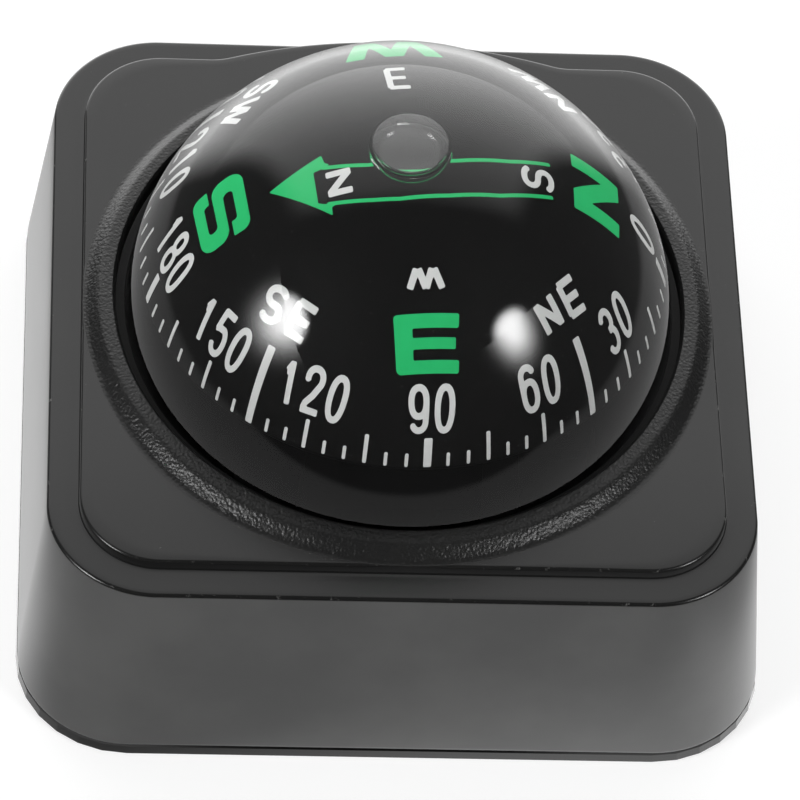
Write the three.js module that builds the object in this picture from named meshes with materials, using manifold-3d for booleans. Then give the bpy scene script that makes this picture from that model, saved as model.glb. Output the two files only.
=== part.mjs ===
// A car dashboard compass: a liquid filled dome over a ball shaped card, in a square black housing.
// Millimetres, +Z up. The origin lies under the middle of the housing, on the surface it stands on.
// The front, with the card's 90 mark, faces -Y.
import * as THREE from 'three';
import { mergeVertices } from 'three/addons/utils/BufferGeometryUtils.js';
import Module from 'manifold-3d';

const wasm = await Module();
wasm.setup();

// Housing, outside
const baseWidth = 66;
const baseCorner = 9.9;
const draft = 2.45;
const topCorner = 9.4;
const bodyHeight = 21.1;
const topEdge = 0.3;
const margin = 2.75;
const raisedCorner = 6.9;
const raisedHeight = 1.05;
const raisedEdge = 0.3;
const bulgeReach = 2.6;
const bulgeRadius = 48;
const bulgeFillet = 6;
const beadWidth = 3;
const beadOverlap = 0.25;
const beadHeight = 1.05;
const beadLip = 0.25;

// Housing, inside
const wall = 2;
const ceiling = 2.2;
const lipThickness = 0.85;
const bossRadius = 2.8;
const bossInset = 8.4;
const boreSpare = 1.5;

// Base plate, pad and screws
const plateEdge = 0.9;
const plateThickness = 2.4;
const seam = 0.25;
const collarWall = 1.7;
const padGap = 1.32;
const padCorner = 4;
const padThickness = 1;
const padProud = 0.4;
const screwRadius = 1.25;
const screwLength = 9;
const screwTip = 1.2;
const screwHeadRadius = 2.3;
const screwHeadHeight = 1.25;
const screwHeadRound = 0.35;
const screwSunk = 0.15;
const screwRecessLength = 2.6;
const screwRecessWidth = 0.5;
const screwRecessDepth = 0.8;
const headFloor = 0.8;

// Capsule
const domeGap = 0.95;
const domeSink = 1.25;
const domeWall = 1.4;
const shoulderDrop = 0.45;
const flangeReach = 2.25;
const domeFlange = 1.4;
const gasketThickness = 0.8;
const gasketWidth = 3.2;
const bowlFlange = 1.6;
const bowlStandOff = 2.7;
const bowlFloor = 1.5;
const cushionThickness = 1.2;
const socketRadius = 3;
const socketHeight = 2.5;
const socketFloor = 1;
const plugRadius = 1.8;
const plugHeadRadius = 2.9;
const plugHeadHeight = 0.9;
const plugReach = 1.2;

// Liquid and its air bubble
const liquidInset = 0.3;
const liquidDepth = 3.7;
const liquidClearance = 0.9;
const bubbleRadius = 3.3;
const bubbleDepth = 1.6;

// Pivot
const postRadius = 1.3;
const postTopRadius = 0.9;
const postTaper = 1.7;
const postDrop = 4;
const pinRadius = 0.45;
const pinTipRadius = 0.08;
const pinTipLength = 1.4;
const pinSeat = 2.6;
const cupRadius = 1.9;
const cupSkirt = 0.9;
const pitMouth = 1;
const pitHeight = 0.2;
const holderWall = 0.7;
const holderSkirt = 1;
const holderHeight = 3;
const holderRound = 0.4;

// Card
const cardWall = 0.6;
const cardRimAngle = 5.4;
const cardTilt = -5.6;
const cardHeading = 4.3;
const carrierThickness = 1;
const carrierLift = 0.15;
const hubWall = 1;
const hubSkirt = 0.6;
const hubRoof = 0.8;
const windowRib = 3.1;
const windowCount = 4;
const magnetInset = 7;
const magnetSize = 3.6;
const magnetSpreadShare = 0.79;
const magnetDrop = 6.2;
const loopLength = 2.4;
const loopWall = 0.7;
const loopSpreadShare = 0.5;
const weightRadius = 1.6;
const weightHeight = 3.5;
const weightGap = 0.39;

// Clearances
const slip = 0.3;
const snug = 0.1;
const overrun = 1;
const weldGap = 0.0001;

// How finely round forms are cut
const roundSteps = 64;
const smallSteps = 24;
const middleSteps = 48;
const cornerSteps = 7;
const arcSteps = 11;
const bowlSteps = 7;
const liquidSteps = 15;
const fullTurn = Math.PI * 2;
const quarterTurn = Math.PI / 2;

// Levels worked out from the sizes above
const housingBottom = padProud + plateEdge + seam;
const bodyTop = padProud + bodyHeight;
const raisedTop = bodyTop + raisedHeight;
const beadTop = raisedTop + beadHeight;
const ceilingLevel = bodyTop - ceiling;
const lipLevel = raisedTop - lipThickness;
const centre = raisedTop - domeSink;
const plateTop = padProud + plateThickness;
const domeFlangeTop = lipLevel - slip;
const domeFlangeBottom = domeFlangeTop - domeFlange;
const gasketTop = domeFlangeBottom - snug;
const bowlFlangeTop = gasketTop - gasketThickness - snug;
const bowlFlangeBottom = bowlFlangeTop - bowlFlange;
const cushionTop = bowlFlangeBottom - snug;
const bowlBottom = plateTop + bowlStandOff;
const bowlFloorLevel = bowlBottom + bowlFloor;
const screwNeck = padProud + screwSunk + screwHeadHeight;
const screwEnd = screwNeck + screwLength;

// Widths, radii and places worked out from the sizes above
const topWidth = baseWidth - draft * 2;
const raisedWidth = topWidth - margin * 2;
const openingRadius = raisedWidth / 2 + beadOverlap - beadWidth;
const shoulderRadius = openingRadius - slip;
const flangeRadius = shoulderRadius + flangeReach;
const collarInner = flangeRadius - collarWall;
const domeRadius = openingRadius - domeGap;
const innerRadius = domeRadius - domeWall;
const cardRadius = innerRadius - liquidDepth;
const liquidRadius = cardRadius + liquidClearance;
const magnetLength = (cardRadius - magnetInset) * 2;
const magnetSpread = cardRadius * magnetSpreadShare;
const bossSpread = baseWidth - bossInset * 2;
const padReach = Math.hypot(bossSpread, bossSpread) / 2 - screwHeadRadius - slip - padGap;
const padHalf = padCorner + (padReach - padCorner) / Math.SQRT2;
const plugOffset = (socketRadius + span(innerRadius, centre - bowlFloorLevel)) / 2;

// How far up the housing's drafted wall a height is, and the wall's half width and corner radius there
function wallShare(level) {
  return (level - padProud) / bodyHeight;
}

function halfWidth(level) {
  return THREE.MathUtils.lerp(baseWidth, topWidth, wallShare(level)) / 2;
}

function cornerRadius(level) {
  return THREE.MathUtils.lerp(baseCorner, topCorner, wallShare(level));
}

// Geometry to one closed mesh with its faces pointing out
function weld(geometry) {
  const bare = geometry.clone();
  bare.deleteAttribute('normal');
  bare.deleteAttribute('uv');
  const merged = mergeVertices(bare, weldGap);
  const place = merged.getAttribute('position').array;
  const index = merged.getIndex().array;
  const kept = [];
  let volume = 0;
  for (let i = 0; i < index.length; i += 3) {
    const [a, b, c] = index.slice(i, i + 3);
    if (a === b || b === c || c === a) continue;
    kept.push(a, b, c);
    const p = new THREE.Vector3().fromArray(place, a * 3);
    const q = new THREE.Vector3().fromArray(place, b * 3);
    const r = new THREE.Vector3().fromArray(place, c * 3);
    volume += p.dot(q.cross(r));
  }
  if (volume < 0) kept.reverse();
  merged.setIndex(kept);
  return merged;
}

function solid(geometry) {
  const closed = weld(geometry);
  const vertProperties = Float32Array.from(closed.getAttribute('position').array);
  const triVerts = Uint32Array.from(closed.getIndex().array);
  return new wasm.Manifold(new wasm.Mesh({ numProp: 3, vertProperties, triVerts }));
}

function fromSolid(manifold) {
  const { vertProperties, triVerts } = manifold.getMesh();
  const geometry = new THREE.BufferGeometry();
  geometry.setAttribute('position', new THREE.BufferAttribute(Float32Array.from(vertProperties), 3));
  geometry.setIndex(new THREE.BufferAttribute(Uint32Array.from(triVerts), 1));
  return geometry;
}

// A turned form about Z, from points of radius and height
function turned(profile, steps) {
  const points = profile.map(([radius, height]) => new THREE.Vector2(radius, height));
  const geometry = new THREE.LatheGeometry(points, steps);
  geometry.rotateX(quarterTurn);
  return weld(geometry);
}

function disc(radius, bottom, top, steps) {
  return turned([[0, bottom], [radius, bottom], [radius, top], [0, top]], steps);
}

function hoop(inner, outer, bottom, top, steps) {
  return turned([[inner, bottom], [outer, bottom], [outer, top], [inner, top], [inner, bottom]], steps);
}

// Points on a circle about (0, middle), from one height to another
function bow(radius, middle, from, to, steps) {
  const start = Math.asin(THREE.MathUtils.clamp((from - middle) / radius, -1, 1));
  const end = Math.asin(THREE.MathUtils.clamp((to - middle) / radius, -1, 1));
  const points = [];
  for (let i = 0; i <= steps; i += 1) {
    const angle = THREE.MathUtils.lerp(start, end, i / steps);
    points.push([Math.max(0, radius * Math.cos(angle)), middle + radius * Math.sin(angle)]);
  }
  return points;
}

function span(radius, height) {
  return Math.sqrt(radius * radius - height * height);
}

// Points on an arc in the plane, both ends among them
function arc(x, y, radius, from, to, steps) {
  const points = [];
  for (let i = 0; i <= steps; i += 1) {
    const angle = THREE.MathUtils.lerp(from, to, i / steps);
    points.push(new THREE.Vector2(x + radius * Math.cos(angle), y + radius * Math.sin(angle)));
  }
  return points;
}

function roundedSquare(half, corner) {
  const middle = half - corner;
  const points = [];
  for (let i = 0; i < 4; i += 1) {
    const x = i === 0 || i === 3 ? middle : -middle;
    const y = i < 2 ? middle : -middle;
    points.push(...arc(x, y, corner, quarterTurn * i, quarterTurn * (i + 1), cornerSteps));
  }
  return points;
}

// The raised face: a rounded square whose back edge swells out in one shallow bow
function raisedOutline(inset) {
  const half = raisedWidth / 2 - inset;
  const corner = raisedCorner - inset;
  const radius = bulgeRadius - inset;
  const fillet = bulgeFillet + inset;
  const middle = raisedWidth / 2 + bulgeReach - bulgeRadius;
  const filletY = half + fillet;
  const filletX = span(radius + fillet, filletY - middle);
  const lean = Math.atan2(filletY - middle, filletX);
  const square = roundedSquare(half, corner);
  const back = [
    ...arc(filletX, filletY, fillet, -quarterTurn, lean - Math.PI, cornerSteps),
    ...arc(0, middle, radius, lean, Math.PI - lean, arcSteps).slice(1, -1),
    ...arc(-filletX, filletY, fillet, -lean, -quarterTurn, cornerSteps),
  ];
  square.splice(cornerSteps + 1, 0, ...back);
  return square;
}

// A closed solid through stacked outlines with the same number of points
function loft(levels) {
  const count = levels[0].outline.length;
  const places = levels.flatMap(({ outline, level }) => outline.flatMap(({ x, y }) => [x, y, level]));
  const faces = [];
  for (let i = 0; i + 1 < levels.length; i += 1) {
    for (let j = 0; j < count; j += 1) {
      const a = i * count + j;
      const b = i * count + ((j + 1) % count);
      faces.push(a, b, b + count, a, b + count, a + count);
    }
  }
  const last = (levels.length - 1) * count;
  for (const [a, b, c] of THREE.ShapeUtils.triangulateShape(levels[0].outline, [])) faces.push(a, c, b);
  for (const [a, b, c] of THREE.ShapeUtils.triangulateShape(levels.at(-1).outline, [])) {
    faces.push(last + a, last + b, last + c);
  }
  const geometry = new THREE.BufferGeometry();
  geometry.setAttribute('position', new THREE.Float32BufferAttribute(places, 3));
  geometry.setIndex(faces);
  return weld(geometry);
}

function slab(half, corner, bottom, top) {
  const outline = roundedSquare(half, corner);
  return loft([{ outline, level: bottom }, { outline, level: top }]);
}

function block(width, depth, bottom, top, x, y) {
  const geometry = new THREE.BoxGeometry(width, depth, top - bottom);
  geometry.translate(x, y, (bottom + top) / 2);
  return geometry;
}

// The four corners of a square of this width
function corners(width) {
  return [[-1, -1], [1, -1], [-1, 1], [1, 1]].map(([x, y]) => [x * width / 2, y * width / 2]);
}

function material(color, roughness, metalness) {
  return new THREE.MeshStandardMaterial({ color, roughness, metalness });
}

function piece(name, geometry, finish) {
  const mesh = new THREE.Mesh(geometry, finish);
  mesh.name = name;
  return mesh;
}

const blackPlastic = () => material(0x1b1b1b, 0.55, 0);
const clearPlastic = () => {
  const finish = material(0xf4f6f6, 0.05, 0);
  finish.transparent = true;
  finish.opacity = 0.25;
  return finish;
};

function housingLevel(level, inset) {
  return { outline: roundedSquare(halfWidth(level) - inset, cornerRadius(level) - inset), level };
}

function housing() {
  const outside = loft([
    housingLevel(housingBottom, 0),
    housingLevel(bodyTop - topEdge, 0),
    housingLevel(bodyTop, topEdge),
  ]);
  const raised = loft([
    { outline: raisedOutline(0), level: bodyTop - raisedEdge },
    { outline: raisedOutline(0), level: raisedTop - raisedEdge },
    { outline: raisedOutline(raisedEdge), level: raisedTop },
  ]);
  // The bead rises steeply at its foot and lies almost flat at its inner lip
  const beadProfile = [];
  for (let i = 0; i <= cornerSteps; i += 1) {
    const angle = quarterTurn * (i / cornerSteps);
    const radius = openingRadius + beadLip + (beadWidth - beadLip) * Math.cos(angle);
    beadProfile.push([radius, raisedTop + beadHeight * Math.sin(angle)]);
  }
  const bead = turned([
    [0, lipLevel],
    [openingRadius + beadWidth, lipLevel],
    ...beadProfile,
    [openingRadius, beadTop - beadLip],
    [0, beadTop - beadLip],
  ], roundSteps);
  const cavity = loft([
    housingLevel(housingBottom - overrun, wall),
    housingLevel(ceilingLevel, wall),
  ]);
  let body = solid(outside).add(solid(raised)).add(solid(bead)).subtract(solid(cavity));
  for (const [x, y] of corners(bossSpread)) {
    const boss = disc(bossRadius, plateTop + snug, ceilingLevel + snug, smallSteps);
    boss.translate(x, y, 0);
    const bore = disc(screwRadius + snug, plateTop - overrun, screwEnd + boreSpare, smallSteps);
    bore.translate(x, y, 0);
    body = body.add(solid(boss)).subtract(solid(bore));
  }
  body = body.subtract(solid(disc(openingRadius, housingBottom, beadTop + overrun, roundSteps)));
  body = body.subtract(solid(disc(flangeRadius + slip, housingBottom, lipLevel, roundSteps)));
  return piece('housing', fromSolid(body), blackPlastic());
}

function basePlate() {
  const rim = loft([housingLevel(padProud, 0), housingLevel(padProud + plateEdge, 0)]);
  const inset = wall + slip;
  const half = halfWidth(plateTop) - inset;
  const spigot = slab(half, cornerRadius(plateTop) - inset, padProud + plateEdge - snug, plateTop);
  const collarTop = cushionTop - cushionThickness - snug;
  const collar = hoop(collarInner, flangeRadius, plateTop - snug, collarTop, roundSteps);
  const padSeat = slab(padHalf + snug, padCorner + snug, padProud - overrun, padThickness + snug);
  let body = solid(rim).add(solid(spigot)).add(solid(collar)).subtract(solid(padSeat));
  for (const [x, y] of corners(bossSpread)) {
    const hole = disc(screwRadius + snug, padProud - overrun, plateTop + overrun, smallSteps);
    hole.translate(x, y, 0);
    const sink = disc(screwHeadRadius + slip, padProud - overrun, plateTop - headFloor, smallSteps);
    sink.translate(x, y, 0);
    body = body.subtract(solid(hole)).subtract(solid(sink));
  }
  return piece('base_plate', fromSolid(body), blackPlastic());
}

function adhesivePad() {
  return piece('adhesive_pad', slab(padHalf, padCorner, 0, padThickness), material(0x2b2b2d, 0.95, 0));
}

function screw(name, x, y) {
  const head = padProud + screwSunk;
  const body = solid(turned([
    [0, head],
    [screwHeadRadius - screwHeadRound, head],
    [screwHeadRadius, head + screwHeadRound],
    [screwHeadRadius, screwNeck],
    [screwRadius, screwNeck],
    [screwRadius, screwEnd - screwTip],
    [0, screwEnd],
  ], smallSteps));
  const slotOne = block(screwRecessLength, screwRecessWidth, head - overrun, head + screwRecessDepth, 0, 0);
  const slotTwo = block(screwRecessWidth, screwRecessLength, head - overrun, head + screwRecessDepth, 0, 0);
  const cut = fromSolid(body.subtract(solid(slotOne)).subtract(solid(slotTwo)));
  const mesh = piece(name, cut, material(0x9a9da1, 0.35, 1));
  mesh.position.set(x, y, 0);
  return mesh;
}

function capsuleDome() {
  const shoulder = beadTop - shoulderDrop;
  const profile = [
    ...bow(domeRadius, centre, centre + domeRadius, shoulder, arcSteps),
    [shoulderRadius, shoulder],
    [shoulderRadius, domeFlangeTop],
    [flangeRadius, domeFlangeTop],
    [flangeRadius, domeFlangeBottom],
    ...bow(innerRadius, centre, domeFlangeBottom, centre + innerRadius, arcSteps),
  ];
  return piece('capsule_dome', turned(profile, roundSteps), clearPlastic());
}

function capsuleBowl() {
  const outerRadius = innerRadius + bowlFloor;
  const socketTop = bowlFloorLevel + socketHeight;
  const profile = [
    [0, bowlBottom],
    ...bow(outerRadius, centre, bowlBottom, bowlFlangeBottom, bowlSteps),
    [flangeRadius, bowlFlangeBottom],
    [flangeRadius, bowlFlangeTop],
    ...bow(innerRadius, centre, bowlFlangeTop, bowlFloorLevel, bowlSteps),
    [socketRadius, bowlFloorLevel],
    [socketRadius, socketTop],
    [postRadius + snug, socketTop],
    [postRadius + snug, bowlBottom + socketFloor],
    [0, bowlBottom + socketFloor],
  ];
  const filler = disc(plugRadius + snug, bowlBottom - overrun, bowlFloorLevel + overrun, smallSteps);
  filler.translate(plugOffset, 0, 0);
  const body = solid(turned(profile, roundSteps)).subtract(solid(filler));
  return piece('capsule_bowl', fromSolid(body), blackPlastic());
}

function capsuleGasket() {
  const inner = flangeRadius - gasketWidth;
  const ring = hoop(inner, flangeRadius, gasketTop - gasketThickness, gasketTop, roundSteps);
  return piece('capsule_gasket', ring, material(0x151515, 0.8, 0));
}

function capsuleCushion() {
  const ring = hoop(collarInner, flangeRadius, cushionTop - cushionThickness, cushionTop, roundSteps);
  return piece('capsule_cushion', ring, material(0x3a3a3c, 0.95, 0));
}

function fillerPlug() {
  const seat = bowlBottom - snug;
  const plug = turned([
    [0, seat - plugHeadHeight],
    [plugHeadRadius, seat - plugHeadHeight],
    [plugHeadRadius, seat],
    [plugRadius, seat],
    [plugRadius, seat + plugReach],
    [0, seat + plugReach],
  ], smallSteps);
  const mesh = piece('filler_plug', plug, material(0x202020, 0.7, 0));
  mesh.position.set(plugOffset, 0, 0);
  return mesh;
}

// The liquid between the dome and the ball, open below, with the air bubble as a dent at its top
function dampingLiquid() {
  const outer = innerRadius - liquidInset;
  const bubbleEdge = span(outer, bubbleRadius);
  const bubbleCurve = (bubbleRadius * bubbleRadius + bubbleDepth * bubbleDepth) / (2 * bubbleDepth);
  const bubbleBottom = centre + bubbleEdge - bubbleDepth;
  const floor = bowlFloorLevel + liquidInset;
  const bubbleTop = bubbleBottom + bubbleDepth;
  const dent = bow(bubbleCurve, bubbleBottom + bubbleCurve, bubbleBottom, bubbleTop, cornerSteps);
  const profile = [
    ...dent.slice(0, -1),
    ...bow(outer, centre, centre + bubbleEdge, floor, liquidSteps),
    ...bow(liquidRadius, centre, floor, centre + liquidRadius, liquidSteps),
  ];
  const finish = clearPlastic();
  finish.color.set(0xf7f6ee);
  return piece('damping_liquid', turned(profile, middleSteps), finish);
}

function pivotPost() {
  const bottom = bowlBottom + socketFloor + snug;
  const top = centre - postDrop;
  const profile = [
    [0, bottom],
    [postRadius, bottom],
    [postRadius, top - postTaper],
    [postTopRadius, top],
    [pinRadius + snug, top],
    [pinRadius + snug, top - pinSeat],
    [0, top - pinSeat],
  ];
  return piece('pivot_post', turned(profile, smallSteps), material(0xb08d4f, 0.35, 1));
}

function pivotPin() {
  const tip = centre - snug;
  const bottom = centre - postDrop - pinSeat + snug;
  const profile = [
    [0, bottom],
    [pinRadius, bottom],
    [pinRadius, tip - pinTipLength],
    [pinTipRadius, tip],
    [0, tip],
  ];
  return piece('pivot_pin', turned(profile, smallSteps), material(0xc2c5c9, 0.2, 1));
}

// From here on, heights are measured from the pivot point, in the card's own group
function jewelCup() {
  const profile = [
    [0, pitHeight],
    [pitMouth, -cupSkirt],
    ...bow(cupRadius, 0, -cupSkirt, cupRadius, cornerSteps),
  ];
  return piece('jewel_cup', turned(profile, smallSteps), material(0x8c1f3a, 0.1, 0));
}

function jewelHolder() {
  const bore = cupRadius + slip;
  const outer = bore + holderWall;
  const profile = [
    ...bow(bore, 0, bore, -holderSkirt, cornerSteps),
    [outer, -holderSkirt],
    [outer, holderHeight - holderRound],
    [outer - holderRound, holderHeight],
    [0, holderHeight],
  ];
  return piece('jewel_holder', turned(profile, smallSteps), material(0xb08d4f, 0.35, 1));
}

const cardRim = cardRadius * Math.sin(THREE.MathUtils.degToRad(cardRimAngle));
const carrierBottom = cardRim + carrierLift;
const hubBore = cupRadius + slip + holderWall + slip;

function cardShell() {
  const inner = cardRadius - cardWall;
  const profile = [
    ...bow(cardRadius, 0, cardRadius, cardRim, arcSteps),
    ...bow(inner, 0, cardRim, inner, arcSteps),
  ];
  return piece('card_shell', turned(profile, middleSteps), material(0x0c0c0c, 0.3, 0));
}

function cardCarrier() {
  const carrierTop = carrierBottom + carrierThickness;
  const reach = span(cardRadius - cardWall, carrierTop) - slip;
  const hubTop = holderHeight + slip + hubRoof;
  let body = solid(disc(reach, carrierBottom, carrierTop, middleSteps));
  body = body.add(solid(disc(hubBore + hubWall, -hubSkirt, hubTop, smallSteps)));
  body = body.subtract(solid(disc(hubBore, -hubSkirt - overrun, holderHeight + slip, smallSteps)));
  const windowRadius = (reach - hubBore - hubWall) / 2 - windowRib;
  const windowSpread = (reach + hubBore + hubWall) / 2;
  for (let i = 0; i < windowCount; i += 1) {
    const angle = fullTurn * (i / windowCount);
    const window = disc(windowRadius, carrierBottom - overrun, carrierTop + overrun, smallSteps);
    window.translate(windowSpread * Math.cos(angle), windowSpread * Math.sin(angle), 0);
    body = body.subtract(solid(window));
  }
  const slotSize = magnetSize + slip * 2;
  const loopWidth = slotSize + loopWall * 2;
  const loopBottom = -magnetDrop - loopWidth / 2;
  const loopSpread = magnetLength * loopSpreadShare;
  for (const y of [-magnetSpread / 2, magnetSpread / 2]) {
    for (const x of [-loopSpread / 2, loopSpread / 2]) {
      body = body.add(solid(block(loopLength, loopWidth, loopBottom, carrierBottom + snug, x, y)));
    }
    const slotBottom = -magnetDrop - slotSize / 2;
    body = body.subtract(solid(block(magnetLength, slotSize, slotBottom, slotBottom + slotSize, 0, y)));
  }
  return piece('card_carrier', fromSolid(body), blackPlastic());
}

function magnet(name, side) {
  const bar = block(magnetLength, magnetSize, -magnetSize / 2, magnetSize / 2, 0, 0);
  const mesh = piece(name, weld(bar), material(0x3d3d40, 0.5, 0.8));
  mesh.position.set(0, side * magnetSpread / 2, -magnetDrop);
  return mesh;
}

function balanceWeight() {
  const top = carrierBottom - slip;
  const slug = disc(weightRadius, top - weightHeight, top, smallSteps);
  const mesh = piece('balance_weight', slug, material(0xb08d4f, 0.4, 1));
  // It sits on the side that faces the back, so that the card's front edge rides high
  const azimuth = quarterTurn - THREE.MathUtils.degToRad(cardHeading);
  const offset = hubBore + hubWall + weightGap + weightRadius;
  mesh.position.set(offset * Math.cos(azimuth), offset * Math.sin(azimuth), 0);
  return mesh;
}

function card() {
  const group = new THREE.Group();
  group.add(jewelCup(), jewelHolder(), cardShell(), cardCarrier());
  group.add(magnet('magnet_front', -1), magnet('magnet_back', 1), balanceWeight());
  // It hangs a little off level, east side up, as in the photograph
  group.position.set(0, 0, centre);
  group.rotation.set(THREE.MathUtils.degToRad(cardTilt), 0, THREE.MathUtils.degToRad(cardHeading));
  return group;
}

const compass = new THREE.Group();
compass.add(housing(), basePlate(), adhesivePad());
const screwPlaces = ['front_left', 'front_right', 'back_left', 'back_right'];
corners(bossSpread).forEach(([x, y], i) => compass.add(screw(`base_screw_${screwPlaces[i]}`, x, y)));
compass.add(capsuleDome(), capsuleBowl(), capsuleGasket(), capsuleCushion(), fillerPlug(), dampingLiquid());
compass.add(pivotPost(), pivotPin(), card());

export default compass;
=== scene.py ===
from math import acos, asin, atan2, copysign, cos, degrees, hypot, pi, radians, sin, sqrt, tan

import bpy
import numpy as np
from mathutils import Matrix, Vector


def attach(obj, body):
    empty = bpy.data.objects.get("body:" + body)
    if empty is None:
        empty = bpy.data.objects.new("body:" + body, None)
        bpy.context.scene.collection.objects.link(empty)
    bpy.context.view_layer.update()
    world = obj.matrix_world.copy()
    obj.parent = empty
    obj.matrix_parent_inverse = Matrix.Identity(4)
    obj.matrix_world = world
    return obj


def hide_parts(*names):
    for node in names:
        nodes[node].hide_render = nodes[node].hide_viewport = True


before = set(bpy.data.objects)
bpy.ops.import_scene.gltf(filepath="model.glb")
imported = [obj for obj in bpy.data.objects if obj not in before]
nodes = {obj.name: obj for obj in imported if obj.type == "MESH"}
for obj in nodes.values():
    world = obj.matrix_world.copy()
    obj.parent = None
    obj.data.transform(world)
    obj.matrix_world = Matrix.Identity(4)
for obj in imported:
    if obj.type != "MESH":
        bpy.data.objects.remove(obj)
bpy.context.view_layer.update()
mm = 0.001
print("frame loaded:", len(nodes), "CAD nodes")


# shader wiring
def operator(operation, reflected=False):
    def wired(self, other):
        first, second = (other, self) if reflected else (self, other)
        return self.board.maths(operation, first, second)
    return wired


class Wire:
    # an output socket that Python arithmetic can be written with
    def __init__(self, board, socket):
        self.board = board
        self.socket = socket

    __add__ = __radd__ = operator("ADD")
    __mul__ = __rmul__ = operator("MULTIPLY")
    __sub__, __rsub__ = operator("SUBTRACT"), operator("SUBTRACT", True)
    __truediv__, __rtruediv__ = operator("DIVIDE"), operator("DIVIDE", True)
    __pow__ = operator("POWER")


class Board:
    # one node tree, emptied, with short ways to add nodes
    def __init__(self, tree):
        self.tree = tree
        tree.nodes.clear()

    def add(self, kind, settings=None, sockets=None, out=0):
        node = self.tree.nodes.new(kind)
        for key, value in (settings or {}).items():
            setattr(node, key, value)
        for key, value in (sockets or {}).items():
            if isinstance(value, Wire):
                self.tree.links.new(value.socket, node.inputs[key])
            else:
                node.inputs[key].default_value = value
        return Wire(self, node.outputs[out]) if len(node.outputs) else node

    def maths(self, operation, a, b=0.0, clamp=False):
        return self.add("ShaderNodeMath", {"operation": operation, "use_clamp": clamp}, {0: a, 1: b})

    def step(self, value, low, high):
        # 0 at low and 1 at high, with a smooth rise between
        return self.add("ShaderNodeMapRange", {"interpolation_type": "SMOOTHSTEP", "clamp": True},
                        {"Value": value, "From Min": low, "From Max": high})

    def blend(self, share, a, b):
        return self.add("ShaderNodeMix", {"data_type": "RGBA"}, {0: share, 6: a, 7: b}, 2)

    def noise(self, where, size, detail=2.0, rough=0.5):
        # size is the grain's size in millimetres
        return self.add("ShaderNodeTexNoise", {"noise_dimensions": "3D"}, {
            "Vector": where, "Scale": 1 / (size * mm), "Detail": detail, "Roughness": rough,
        })

    def cells(self, where, size):
        return self.add("ShaderNodeTexVoronoi", {"feature": "F1"}, {"Vector": where, "Scale": 1 / (size * mm)})

    def stretched(self, where, scale):
        return self.add("ShaderNodeMapping", {"vector_type": "POINT"}, {"Vector": where, "Scale": scale})

    def dot(self, a, b):
        return self.add("ShaderNodeVectorMath", {"operation": "DOT_PRODUCT"}, {0: a, 1: tuple(b)}, "Value")

    def split(self, vector):
        parts = self.add("ShaderNodeSeparateXYZ", None, {0: vector}).socket.node
        return [Wire(self, parts.outputs[k]) for k in range(3)]

    def rays(self, *names):
        # what is known of the ray that meets the surface
        path = self.add("ShaderNodeLightPath").socket.node
        return [Wire(self, path.outputs[name]) for name in names]

    def mark(self, name):
        # a number stored on the mesh's points
        return self.add("ShaderNodeAttribute", {"attribute_name": name}, None, "Fac")

    def bump(self, height, depth, strength=1.0, **onto):
        return self.add("ShaderNodeBump", None, {
            "Height": height, "Distance": depth * mm, "Strength": strength, **onto,
        })


def newMaterial(name):
    material = bpy.data.materials.new(name)
    material.use_nodes = True
    board = Board(material.node_tree)
    board.material = material
    return board, board.add("ShaderNodeTexCoord", None, None, "Object")


def finishMaterial(board, sockets):
    shader = board.add("ShaderNodeBsdfPrincipled", None, sockets)
    board.add("ShaderNodeOutputMaterial", None, {"Surface": shader})
    return board.material


def grey(level):
    return (level, level, level, 1)


# plastics and the rest
plasticLook = {
    "dark": grey(0.0062), "light": (0.0085, 0.0085, 0.0082, 1),
    # painted sheen: the walls' greys are far lighter than the top's, standing in for the bright floor they mirror
    "wallSheenDark": grey(0.077), "wallSheenLight": (0.096, 0.096, 0.095, 1),
    "worn": (0.16, 0.16, 0.155, 1),
    "roughness": 0.21, "wallRoughness": 0.36, "grainRoughness": 0.12, "specular": 0.4,
    "coatLeast": 0.02, "coatMore": 0.22, "coatStart": -0.032, "coatEnd": -0.012, "coatRoughness": 0.25,
    "cloudSize": 9, "fineSize": 0.11, "fineDepth": 0.005,
    "grainSize": 0.3, "grainDepth": 0.045, "pebbleShare": 0.7,
    "streakSize": 0.5, "streakDepth": 0.005,
    "speckSize": 0.34, "speckShare": 0.3, "rubSize": 0.9, "rubShare": 0.6,
}


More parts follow.
